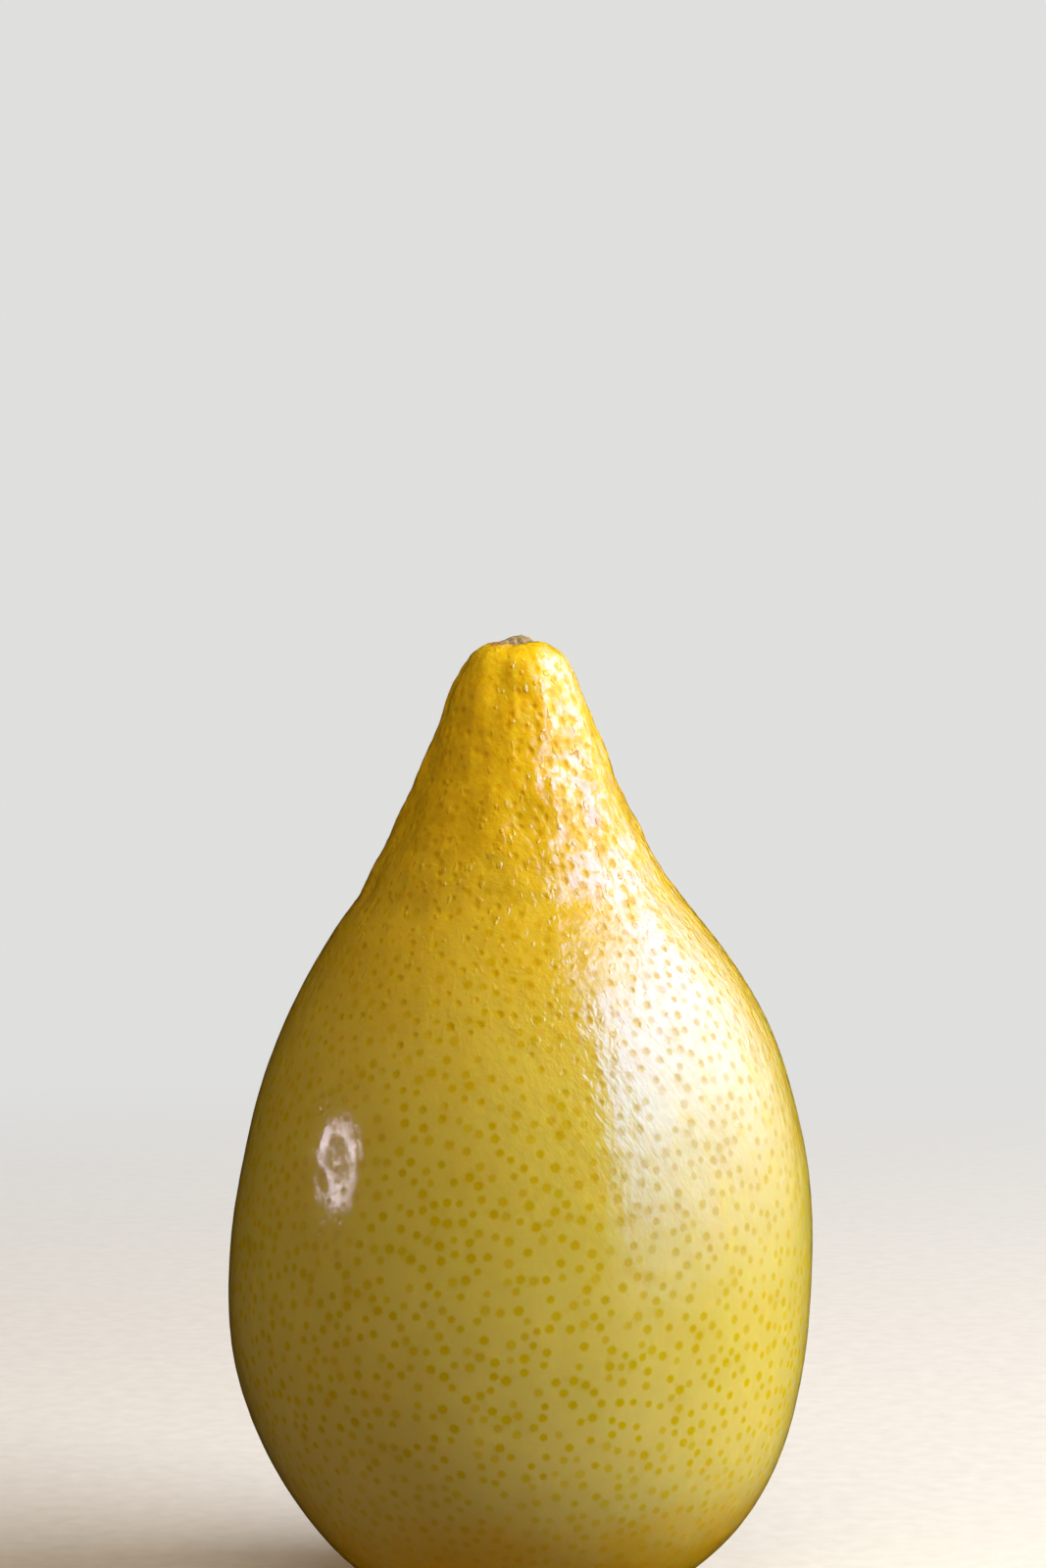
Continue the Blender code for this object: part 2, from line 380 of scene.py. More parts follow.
def blend(low, high, value):
    """Smooth step from 0 at low to 1 at high."""
    share = np.clip((value - low) / (high - low), 0.0, 1.0)
    return share * share * (3.0 - 2.0 * share)


def between(ends, share):
    """Value a share of the way from one end to the other."""
    return ends[0] + (ends[1] - ends[0]) * share


def bell(distance, reach):
    """Bell curve of height 1 that fades out over the reach."""
    return np.exp(-(distance / reach) ** 2)


def from_place(places, place):
    """Distance of each place from one place."""
    return np.linalg.norm(places - np.array(place), axis=1)


def lumps(places):
    """Smooth noise from about -1 to 1 at each place."""
    return np.array([noise.noise(place) for place in places.tolist()])


def neck_share(height):
    """0 on the body, 1 on the neck."""
    return blend(COLLAR_HEIGHT - NECK_BLEND, COLLAR_HEIGHT + NECK_BLEND, height)


def tip_calm(height):
    """1 on most of the fruit, less where the relief calms down next to the tip."""
    return 1.0 - TIP_CALM * blend(TIP_HEIGHT - TIP_BLEND, TIP_HEIGHT, height)


def round_places(turn, radius, height):
    """Places at turns round an upright line."""
    return np.stack([np.cos(turn) * radius, np.sin(turn) * radius, height], axis=1)


def collar_line(turn):
    """Height of the crease where the neck meets the body."""
    return COLLAR_HEIGHT + COLLAR_WANDER * np.sin(turn + 1.0) + 0.5 * COLLAR_WANDER * np.sin(3.0 * turn)


def swell(turn, height):
    """Share added to the radius, so that the fruit isn't perfectly round."""
    return sum(share * np.sin(waves * turn) for waves, share in SWELLS) * blend(0.0, BASE_BLEND, height)


def relief(turn, height, places):
    """Height of the skin over the smooth outline: the solid's, with less of a dent and no dimples."""
    rugged = neck_share(height) * tip_calm(height)
    around = round_places(turn, 1.0, height / FURROW_LENGTH) * FURROW_DENSITY
    furrow = lumps(around) * FURROW_DEPTH * rugged
    bumps = lumps(places / BUMP_LENGTH) * BUMP_HEIGHT * rugged
    waves = lumps(places / WAVE_LENGTH) * WAVE_HEIGHT * blend(0.0, BASE_BLEND, height)
    collar = -COLLAR_DEPTH * bell(height - collar_line(turn), COLLAR_WIDTH)
    dent = -DENT_DEPTH * bell(from_place(places, DENT_PLACE), DENT_REACH)
    return furrow + bumps + waves + collar + dent


def fine_relief(turn, height, places):
    """Relief that only the fine skin has: grain, knobs, ridges, wrinkles and crumbs."""
    neck = neck_share(height)
    grain = lumps(places / GRAIN_LENGTH) * GRAIN_HEIGHT * blend(0.0, BASE_BLEND, height)
    knobs = lumps(places / KNOB_LENGTH) * KNOB_HEIGHT * neck
    ridges = lumps(round_places(turn, RIDGE_DENSITY, height / RIDGE_LENGTH)) * RIDGE_HEIGHT * neck
    along = round_places(turn, WRINKLE_DENSITY, height / WRINKLE_LENGTH)
    wrinkles = lumps(along) * WRINKLE_HEIGHT * bell(height - collar_line(turn), WRINKLE_REACH)
    scar = bell(from_place(places, SCAR_PLACE), SCAR_REACH)
    scar += bell(from_place(places, PINK_PLACE), PINK_REACH)
    crumbs = lumps(places / CRUMB_LENGTH) * CRUMB_HEIGHT * np.minimum(scar, 1.0)
    return grain + (knobs + ridges) * tip_calm(height) + wrinkles + crumbs


def lump_rise(places):
    """Upward rise of the lumps round the crater."""
    rise = np.zeros(len(places))
    for middle, size, reach in (LEFT_SHOULDER, FRONT_LIP, BACK_RIM):
        rise += size * bell(from_place(places, middle), reach)
    return rise


def stem_hollow(places):
    """Depth of the scar that the stem left in the flat spot, with its rays."""
    away = np.hypot(places[:, 0], places[:, 1])
    turn = np.arctan2(places[:, 1], places[:, 0])
    rays = 1.0 + STEM_RAY_SHARE * np.cos(STEM_RAYS * turn) * blend(0.0, 0.5 * STEM_REACH, away)
    return STEM_DEPTH * rays * (1.0 - blend(STEM_EDGE * STEM_REACH, STEM_REACH, away))


class Form:
    """The outline as a curve, and its map to a flat plan that keeps the shape of small things.

    On the plan a point is (turn about the middle line, level), both in radians. One radian
    there is as long as the half width of the fruit at that level.
    """

    def __init__(self):
        curve = smooth_curve(OUTLINE, CURVE_STEPS)
        flat = np.linspace((CORE_RADIUS, 0.0), (REST_RADIUS, 0.0), CURVE_STEPS)
        floor = np.linspace(OUTLINE[-1], (CORE_RADIUS, CRATER_FLOOR), CURVE_STEPS)
        whole = np.concatenate([flat[:-1], curve, floor[1:]])
        self.radius = whole[:, 0]
        self.height = whole[:, 1]
        step = np.linalg.norm(np.diff(whole, axis=0), axis=1)
        middle = 0.5 * (self.radius[1:] + self.radius[:-1])
        self.plan = np.concatenate([[0.0], np.cumsum(step / middle)])
        self.area = np.concatenate([[0.0], np.cumsum(step * middle * math.tau)])
        self.rest_level = self.plan[CURVE_STEPS - 1]
        drift = smooth_curve(DRIFT, CURVE_STEPS)
        self.drift_height = drift[:, 0]
        self.drift = drift[:, 1]

    def ground(self, level):
        """Half width and height of the outline at levels of the plan."""
        return np.interp(level, self.plan, self.radius), np.interp(level, self.plan, self.height)

    def slope(self, level):
        """Outward and upward share of the outline's normal at levels of the plan."""
        ahead = self.ground(np.minimum(level + SLOPE_STEP, self.plan[-1]))
        behind = self.ground(np.maximum(level - SLOPE_STEP, 0.0))
        run = ahead[0] - behind[0]
        rise = ahead[1] - behind[1]
        size = np.hypot(run, rise)
        return rise / size, -run / size

    def smooth_places(self, turn, level):
        """Places on the smooth form, in millimetres from the middle line."""
        radius, height = self.ground(level)
        return round_places(turn, radius * (1.0 + swell(turn, height)), height)

    def skin_places(self, turn, level, pit):
        """Places on the skin with all its relief, in millimetres."""
        places = self.smooth_places(turn, level)
        height = places[:, 2].copy()
        out, up = self.slope(level)
        lift = relief(turn, height, places) + fine_relief(turn, height, places) - pit
        on_base = level <= self.rest_level
        lift[on_base] = -stem_hollow(places[on_base])
        out[on_base] = 0.0
        up[on_base] = -1.0
        places[:, 2] += lump_rise(places)
        places += round_places(turn, out, up) * lift[:, None]
        places[:, 0] += np.interp(height, self.drift_height, self.drift)
        return places


class Glands:
    """The oil glands: seeded places on the form, each with its own size, strength and tone."""

    def __init__(self, form, density, depth):
        self.dice = random.Random(SEED)
        self.places = []
        self.plan = []
        self.scatter(form, density)
        height = np.array(self.places)[:, 2]
        count = len(height)
        neck = neck_share(height)
        chance = np.random.default_rng(SEED).random((5, count))
        self.radius = between(GLAND_RADII, chance[0])
        pit_radii = (between(PIT_RADII_BODY, chance[0]), between(PIT_RADII_NECK, chance[1]))
        self.pit_radius = between(pit_radii, neck)
        share = between((PIT_SHARE_LOW, 1.0), blend(*PIT_HEIGHTS, height))
        self.depth = (depth[0] * share * (1.0 - neck) + depth[1] * neck) * (PIT_LEAST_DEPTH + chance[2])
        self.tall = 1.0 + PIT_TALL * neck * chance[3]
        faint = between((GLAND_FAINT_SHARE, 1.0), blend(*GLAND_FAINT, height))
        self.force = between(GLAND_FORCE, chance[3]) * faint
        self.tone = chance[4]
        self.tree = kdtree.KDTree(count)
        for index, place in enumerate(self.places):
            self.tree.insert(place, index)
        self.tree.balance()

    def scatter(self, form, density):
        """Random places with the wanted density and a least spacing."""
        height = 0.5 * (form.height[1:] + form.height[:-1])
        dense = between(density, neck_share(height)) * (1.0 - GLAND_THIN_SHARE * blend(*GLAND_THIN, height))
        dense = np.where((height > GLAND_PLAIN_ABOVE) | (height <= 0.0), 0.0, dense)
        wanted = np.concatenate([[0.0], np.cumsum(dense * np.diff(form.area))])
        cells = {}
        while len(self.places) < int(wanted[-1]):
            level = float(np.interp(self.dice.random() * wanted[-1], wanted, form.plan))
            turn = self.dice.random() * math.tau
            place = tuple(form.smooth_places(np.array([turn]), np.array([level]))[0].tolist())
            gap = between(GLAND_GAPS, float(neck_share(place[2])))
            key = tuple(math.floor(value / GLAND_GAPS[0]) for value in place)
            near = (cells.get((key[0] + i, key[1] + j, key[2] + k), ())
                    for i in (-1, 0, 1) for j in (-1, 0, 1) for k in (-1, 0, 1))
            if all(math.dist(place, other) > gap for group in near for other in group):
                cells.setdefault(key, []).append(place)
                self.places.append(place)
                self.plan.append((turn, level))

    def ring_points(self, form):
        """Points of the plan at and round each gland, kept clear of its nearest neighbour."""
        points = []
        for index, (turn, level) in enumerate(self.plan):
            points.append((turn, level))
            apart = self.tree.find_n(self.places[index], 2)[1][2]
            reach = min(self.radius[index], RING_ROOM * apart) / float(form.ground(level)[0])
            for corners, share in RINGS:
                start = self.dice.random() * math.tau
                for corner in range(corners):
                    angle = start + math.tau * corner / corners
                    edge = reach * share * (1.0 + RING_UNEVEN * self.dice.uniform(-1.0, 1.0))
                    side = (turn + edge * math.cos(angle)) % math.tau
                    points.append((side, level + edge * math.sin(angle)))
        return points

    def field(self, places):
        """Pit depth at each place, and how near, strong and brown the gland there is."""
        pits = np.zeros(len(places))
        marks = np.zeros((len(places), 3))
        reach = PIT_ENDS * PIT_RADII_NECK[1] * (1.0 + PIT_TALL)
        for row, place in enumerate(places.tolist()):
            for centre, index, away in self.tree.find_range(place, reach):
                rise = place[2] - centre[2]
                tall = self.tall[index]
                away = math.sqrt(max(away * away - rise * rise, 0.0) + rise * rise / (tall * tall))
                share = away / self.pit_radius[index]
                if share < PIT_ENDS:
                    hollow = (1.0 - PIT_RIM * share * share) * math.exp(-PIT_FADE * share * share)
                    pits[row] += self.depth[index] * hollow
                near = 1.0 - away / (GLAND_EDGE * self.radius[index])
                if near > marks[row, 0]:
                    marks[row] = (near, self.force[index], self.tone[index])
        return pits, marks


def fill_points(form, glands):
    """Points of the plan between the glands: uneven rows, with an even one at each end."""
    dice = random.Random(SEED + 1)
    top = float(form.plan[-1])
    rows = [0.0]
    points = []
    while rows[-1] < top:
        level = rows[-1]
        gap, radius = row_gap(form, level)
        points += row_points(dice, level, gap, radius, 0.0 if level == 0.0 else JITTER)
        rows.append(level + ROW_SHARE * gap / radius)
    gap, radius = row_gap(form, top)
    clear = top - ROW_LEAST * ROW_SHARE * gap / radius
    points = [point for point in points if point[1] < clear] + row_points(dice, top, gap, radius, 0.0)
    turn, level, _ = np.array(points).T
    places = form.smooth_places(turn, level)
    kept = []
    for (turn, level, gap), place in zip(points, places.tolist()):
        _, index, away = glands.tree.find(place)
        if away > glands.radius[index] + FILL_CLEAR * gap:
            kept.append((turn, level))
    return kept


def row_gap(form, level):
    """Spacing of the skin's points at a level, and the half width there."""
    radius, height = (float(value) for value in form.ground(level))
    gap = between((GAP_BODY, GAP_NECK), float(neck_share(height)))
    gap = between((gap, GAP_TIP), float(blend(*GAP_TIP_HEIGHTS, height)))
    return min(gap, GAP_OF_RADIUS * radius), radius


def row_points(dice, level, gap, radius, jitter):
    """One row of points round the fruit, moved about by a share of their spacing."""
    count = round(math.tau * radius / gap)
    start = dice.random()
    row = []
    for i in range(count):
        turn = math.tau * (i + start + jitter * dice.uniform(-1.0, 1.0)) / count
        wander = jitter * dice.uniform(-1.0, 1.0) * gap / radius
        row.append((turn % math.tau, max(level + wander, 0.0), gap))
    return row


def net_faces(points):
    """Triangles between points of the plan, joined across the seam at a full turn."""
    whole = [Vector(point) for point in points]
    owner = list(range(len(points)))
    for index, (turn, level) in enumerate(points):
        if turn < SEAM_MARGIN:
            whole.append(Vector((turn + math.tau, level)))
            owner.append(index)
        if turn > math.tau - SEAM_MARGIN:
            whole.append(Vector((turn - math.tau, level)))
            owner.append(index)
    result = delaunay_2d_cdt(whole, [], [], 0, PLAN_TOLERANCE)
    places, faces, origins = result[0], result[2], result[3]
    triangles = []
    for face in faces:
        if 0.0 <= min(places[corner].x for corner in face) < math.tau:
            triangles.append([owner[origins[corner][0]] for corner in face])
    return triangles


def finished_mesh(name, mesh):
    """A smooth mesh from a bmesh, with its faces turned the same way."""
    bmesh.ops.recalc_face_normals(mesh, faces=mesh.faces)
    data = bpy.data.meshes.new(name)
    mesh.to_mesh(data)
    mesh.free()
    data.shade_smooth()
    return data


def skin_mesh(name, settings):
    """The closed fine skin as a mesh, with its gland marks as an attribute."""
    form = Form()
    density = (settings.glands_body / MM2_TO_CM2, settings.glands_neck / MM2_TO_CM2)
    glands = Glands(form, density, (settings.pit_body / MM, settings.pit_neck / MM))
    points = glands.ring_points(form) + fill_points(form, glands)
    turn, level = np.array(points).T
    pits, marks = glands.field(form.smooth_places(turn, level))
    places = form.skin_places(turn, level, pits)
    skin = bmesh.new()
    layer = skin.verts.layers.float_vector.new("gland")
    corners = []
    for place, mark in zip((places * MM).tolist(), marks.tolist()):
        corner = skin.verts.new(place)
        corner[layer] = mark
        corners.append(corner)
    for face in net_faces(points):
        skin.faces.new([corners[owner] for owner in face])
    rims = [edge for edge in skin.edges if edge.is_boundary]
    for on_top in (False, True):
        loop = [edge for edge in rims if (edge.verts[0].co.z > COLLAR_HEIGHT * MM) == on_top]
        middle = sum((edge.verts[0].co + edge.verts[1].co for edge in loop), Vector()) / (2.0 * len(loop))
        hub = skin.verts.new(middle)
        for edge in loop:
            skin.faces.new((edge.verts[0], edge.verts[1], hub))
    return finished_mesh(name, skin)


def math_sum(kind, swapped=False):
    """A way for a wire to add a Math node of one kind, with its two values swapped or not."""
    def add_node(wire, other):
        first, second = (other, wire) if swapped else (wire, other)
        return wire.finish.node("Math", {"operation": kind}, {"Value": first, "Value_001": second})
    return add_node


class Wire:
    """A node's output to write sums with: each sum adds its Math node."""

    __add__ = math_sum("ADD")
    __radd__ = math_sum("ADD", swapped=True)
    __sub__ = math_sum("SUBTRACT")
    __rsub__ = math_sum("SUBTRACT", swapped=True)
    __mul__ = math_sum("MULTIPLY")
    __rmul__ = math_sum("MULTIPLY", swapped=True)
    __truediv__ = math_sum("DIVIDE")
    __rtruediv__ = math_sum("DIVIDE", swapped=True)

    def __init__(self, finish, socket):
        self.finish = finish
        self.socket = socket


class Finish:
    """One material and the nodes that give its look."""

    def __init__(self, name):
        self.material = bpy.data.materials.new(name)
        self.material.use_nodes = True
        self.tree = self.material.node_tree
        self.tree.nodes.clear()
        self.place = self.node("TexCoord", out="Object")

    def node(self, kind, settings=None, sockets=None, out=None):
        """Adds a node, with its settings, and then the values or links of its sockets."""
        made = self.tree.nodes.new("ShaderNode" + kind)
        for name, value in (settings or {}).items():
            if name == "stops":
                fill_ramp(made.color_ramp, value)
            else:
                setattr(made, name, value)
        for name, value in (sockets or {}).items():
            socket = next(item for item in made.inputs if name in (item.identifier, item.name))
            if isinstance(value, Wire):
                self.tree.links.new(value.socket, socket)
            else:
                socket.default_value = (*value, 1.0) if socket.type == "RGBA" else value
        if out is None:
            return Wire(self, made.outputs[0]) if made.outputs else None
        return Wire(self, next(item for item in made.outputs if out in (item.identifier, item.name)))

    def part(self, vector, axis):
        """One number of a vector."""
        return self.node("SeparateXYZ", None, {"Vector": vector}, out=axis)

    def mix(self, share, low, high, way="MIX"):
        """One colour turned into another by a share."""
        settings = {"data_type": "RGBA", "blend_type": way}
        sockets = {"Factor_Float": share, "A_Color": low, "B_Color": high}
        return self.node("Mix", settings, sockets, out="Result_Color")

    def step(self, value, low, high, most=1.0):
        """Smooth step from 0 at low to the most at high."""
        sockets = {"Value": value, "From Min": low, "From Max": high, "To Max": most}
        return self.node("MapRange", {"interpolation_type": "SMOOTHSTEP"}, sockets)

    def noise(self, size, detail, rough=0.5, place=None):
        """Noise from 0 to 1 with lumps of about that size in millimetres."""
        sockets = {"Scale": 1.0 / (size * MM), "Detail": detail, "Roughness": rough}
        return self.node("TexNoise", None, {"Vector": place or self.place, **sockets})

    def length(self, vector):
        """How long a vector is."""
        return self.node("VectorMath", {"operation": "LENGTH"}, {"Vector": vector}, out="Value")

    def away(self, centre, reach):
        """Distance from a centre in millimetres, as a share of the reach."""
        shifted = self.node("VectorMath", {"operation": "SUBTRACT"},
                            {"Vector": self.place, "Vector_001": Vector(centre) * MM})
        return self.length(shifted) / (reach * MM)

    def glow(self, color, strength):
        """A surface that gives light."""
        return self.node("Emission", None, {"Color": color, "Strength": strength})

    def join(self, share, first, second):
        """One surface turned into another by a share."""
        return self.node("MixShader", None, {"Fac": share, "Shader": first, "Shader_001": second})

    def done(self, surface):
        """The material, once its surface is joined to its output."""
        self.node("OutputMaterial", None, {"Surface": surface})
        return self.material


def fill_ramp(ramp, stops):
    """Gives a colour ramp its stops, each a place and a colour."""
    while len(ramp.elements) < len(stops):
        ramp.elements.new(1.0)
    for element, (place, color) in zip(ramp.elements, stops):
        element.position = place
        element.color = (*color, 1.0)


def zone_sum(zones, shares):
    """A share that holds all over, with another added in each zone."""
    total = shares[0]
    for zone, share in zip(zones, shares[1:]):
        if share:
            total = total + zone * share
    return total


class PeelFinish(Finish):
    """Waxy yellow peel with ochre glands, a deep gold neck, dry scars and fine grain."""

    def __init__(self, settings):
        super().__init__("lemon_peel")
        self.settings = settings
        self.height = self.part(self.place, "Z") / (TIP_HEIGHT * MM)
        marks = self.node("Attribute", {"attribute_name": "gland"}, out="Vector")
        self.near, self.force, self.tone = (self.part(marks, axis) for axis in "XYZ")
        self.clouds = self.noise(*CLOUD_NOISE)
        self.flecks = self.noise(*FLECK_NOISE)
        self.crumbs = self.noise(*CRUMB_NOISE)
        self.dot = self.step(self.near, *DOT_EDGE) * self.force
        right = self.step(self.part(self.place, "X"), *(limit * MM for limit in MIDDLE_WIDTHS))
        lower, middle, upper, self.neck = (self.step(self.height, *edge) for edge in ZONES)
        self.zones = (lower, middle * right, upper, self.neck)
        self.tall = self.node("VectorMath", {"operation": "MULTIPLY"},
                              {"Vector": self.place, "Vector_001": TALL_SCALE})
        uneven = (self.noise(*SCAR_NOISE) - 0.5) * SCAR_UNEVEN
        self.scar = self.patch(SCAR_PLACE, SCAR_REACH, uneven, SCAR_EDGE)
        self.pink = self.patch(PINK_PLACE, PINK_REACH, uneven, PINK_EDGE)
        self.stem = 1.0 - self.step(self.away(STEM_PLACE, STEM_REACH) + uneven * STEM_UNEVEN, *STEM_RIM)

    def patch(self, place, reach, uneven, edge):
        """A patch with an uneven edge next to the tip, moved with the middle line there."""
        centre = (place[0] + DRIFT[-1][1], *place[1:])
        return 1.0 - self.step(self.away(centre, reach) + uneven, *edge)

    def color(self):
        """Colour by height, its base and low body lightened as painted bounce light, with clouds, flecks,
        ochre dots at the glands and dry scars.
        """
        settings = self.settings
        stops = [(share, getattr(settings, name + "_color")) for share, name in COLOR_STOPS]
        level = self.height + (self.clouds - 0.5) * CLOUD_SHIFT
        skin = self.node("ValToRGB", {"stops": stops}, {"Fac": level}, out="Color")
        deep = self.step(self.noise(*DEEP_NOISE), *DEEP_FADE)
        skin = self.mix(deep, skin, DEEP_TINT, "MULTIPLY")
        fleck = (self.flecks - 0.5) * FLECK_RANGE + FLECK_SHARE
        skin = self.mix(fleck, skin, FLECK_TINT, "MULTIPLY")
        brown = self.step(self.tone, *BROWN_FADE)
        ochre = self.mix(brown, settings.gland_color, settings.gland_brown)
        dotted = self.mix(1.0, skin, ochre, "MULTIPLY")
        skin = self.mix(self.dot * zone_sum(self.zones, DOT_SHARES), skin, dotted)
        crumbled = self.step(self.crumbs, *CRUMB_EDGE)
        dry = self.mix(crumbled, settings.scar_dark, settings.scar_color)
        skin = self.mix(self.scar, skin, dry)
        skin = self.mix(self.pink * PINK_SHARE, skin, settings.pink_color)
        return self.mix(self.stem, skin, dry)

    def rough(self):
        """Roughness of the wax, higher at the glands and the scars."""
        rough = self.settings.roughness + (self.clouds - 0.5) * CLOUD_ROUGH
        rough = rough + (self.flecks - 0.5) * FLECK_ROUGH + self.dot * DOT_ROUGH
        return rough + self.neck * NECK_ROUGH + (self.scar + self.stem) * SCAR_ROUGH

    def bump(self):
        """Normal of the fine relief: lumps, raised spots, pores and dry crumbs."""
        slant = self.node("Mapping", {"vector_type": "TEXTURE"},
                          {"Vector": self.place, "Rotation": SLANT_TURN, "Scale": SLANT_SCALE})
        spaces = {"even": self.place, "tall": self.tall, "slant": slant}
        rise = 0.0
        for space, size, detail, rough, heights in BUMP_LUMPS:
            lump = self.noise(size, detail, rough, spaces[space]) - 0.5
            rise = rise + lump * zone_sum(self.zones, heights)
        for size, edge, heights in BUMP_SPOTS:
            spot = self.step(self.noise(size, SPOT_DETAIL, place=self.tall), *edge)
            rise = rise + spot * zone_sum(self.zones, heights)
        pore = PORE_LEAST + self.step(self.tone, *PORE_TONE) * zone_sum(self.zones, PORE_DEPTHS)
        rise = rise - self.step(self.near, *PORE_EDGE) * pore
        rise = rise + (self.crumbs - 0.5) * (self.scar + self.stem) * CRUMB_RISE
        return self.node("Bump", None, {"Strength": 1.0, "Distance": 1.0, "Height": rise * MM})

    def bare(self):
        """Share of the skin with no wax."""
        worn = self.step(self.noise(*WORN_NOISE, place=self.tall), *WORN_FADE)
        winding = self.noise(*CRACK_NOISE, place=self.tall) - 0.5
        cracks = (1.0 - self.step(winding * winding, *CRACK_EDGE)) * self.neck * CRACK_SHARE
        holes = self.step(self.near, *HOLE_EDGE) * self.step(self.tone, *HOLE_TONE)
        holes = holes * zone_sum(self.zones, HOLE_SHARES)
        dots = self.step(self.near, *DOT_BARE_FADE)
        waxed = 1.0 - worn
        for mark in (cracks, holes, dots, self.scar):
            waxed = waxed * (1.0 - mark)
        return 1.0 - waxed

    def rind(self, color, rough, bump, gloss, wax):
        """Rind with light inside it, under its gloss and its clear wax."""
        return self.node("BsdfPrincipled", {"subsurface_method": "RANDOM_WALK"}, {
            "Base Color": color,
            "Roughness": rough,
            "Normal": bump,
            "IOR": WAX_IOR,
            "Specular IOR Level": gloss,
            "Coat Weight": wax,
            "Coat Roughness": self.settings.wax_roughness,
            "Subsurface Weight": self.settings.depth_share,
            "Subsurface Radius": DEPTH_BY_COLOR,
            "Subsurface Scale": self.settings.depth,
        })

    def finished(self):
        """The material: waxed rind, and bare rind where the wax is gone."""
        looks = (self.color(), self.rough(), self.bump())
        waxed = self.rind(*looks, self.settings.gloss, self.settings.wax)
        dull = self.rind(*looks, self.settings.bare_gloss, 0.0)
        return self.done(self.join(self.bare(), waxed, dull))


def floor_finish(settings):
    """Matt pale paper that turns into an evenly lit backdrop away from the fruit."""
    finish = Finish("studio_paper")
    fibres = finish.noise(*FIBRE_NOISE)
    paper = finish.mix(fibres, settings.floor_color, FIBRE_TINT, "MULTIPLY")
    near = finish.node("BsdfPrincipled", None, {
        "Base Color": paper,
        "Roughness": PAPER_ROUGHNESS,
        "Specular IOR Level": PAPER_GLOSS,
    })
    far = finish.glow(settings.backdrop_color, 1.0)
    return finish.done(finish.join(finish.step(finish.length(finish.place), *FLOOR_EDGE), near, far))


def lamp_finish(settings):
    """Glowing ring, a little uneven."""
    finish = Finish("ring_glow")
    uneven = finish.node("TexNoise", None, {"Vector": finish.place, **LAMP_NOISE})
    dim = finish.step(uneven, *LAMP_EDGE)
    light = finish.mix(dim, settings.ring_color, LAMP_DIM, "MULTIPLY")
    return finish.done(finish.glow(light, settings.ring_glow))


def window_finish(settings):
    """Daylight of a window that fades towards its sides, its foot and its head."""
    finish = Finish("window_glow")
    x, y, z = (finish.part(finish.place, axis) for axis in "XYZ")
    turn = finish.node("Math", {"operation": "ARCTAN2"}, {"Value": x, "Value_001": 0.0 - y})
    rise = finish.node("Math", {"operation": "ARCSINE"}, {"Value": z})
    turn = turn * math.degrees(1.0)
    rise = rise * math.degrees(1.0)
    sides = finish.step(turn, *WINDOW_LEFT) * (1.0 - finish.step(turn, *WINDOW_RIGHT))
    ends = finish.step(rise, *WINDOW_FOOT) * (1.0 - finish.step(rise, *WINDOW_HEAD))
    uneven = finish.node("TexNoise", None, {"Vector": finish.place, **WINDOW_NOISE})
    bright = sides * ends * (WINDOW_LEAST + WINDOW_RANGE * uneven)
    grey = finish.node("CombineColor", None, {"Red": bright, "Green": bright, "Blue": bright})
    light = finish.mix(1.0, grey, settings.window_color, "MULTIPLY")
    return finish.done(finish.glow(light, settings.window_glow))


def color_property(name, where, default):
    """A colour that the panel shows."""
    return bpy.props.FloatVectorProperty(name=name, description="Colour " + where, default=default,
                                         subtype="COLOR", size=3, min=0.0, max=1.0)


def share_property(name, description, default):
    """A share from 0 to 1 that the panel shows."""
    return bpy.props.FloatProperty(name=name, description=description, default=default,
                                   min=0.0, max=1.0, subtype="FACTOR")


def number_property(name, description, default, most, least=0.0, unit="NONE", precision=2):
    """A number that the panel shows, in Blender's own unit."""
    return bpy.props.FloatProperty(name=name, description=description, default=default,
                                   min=least, max=most, unit=unit, precision=precision)


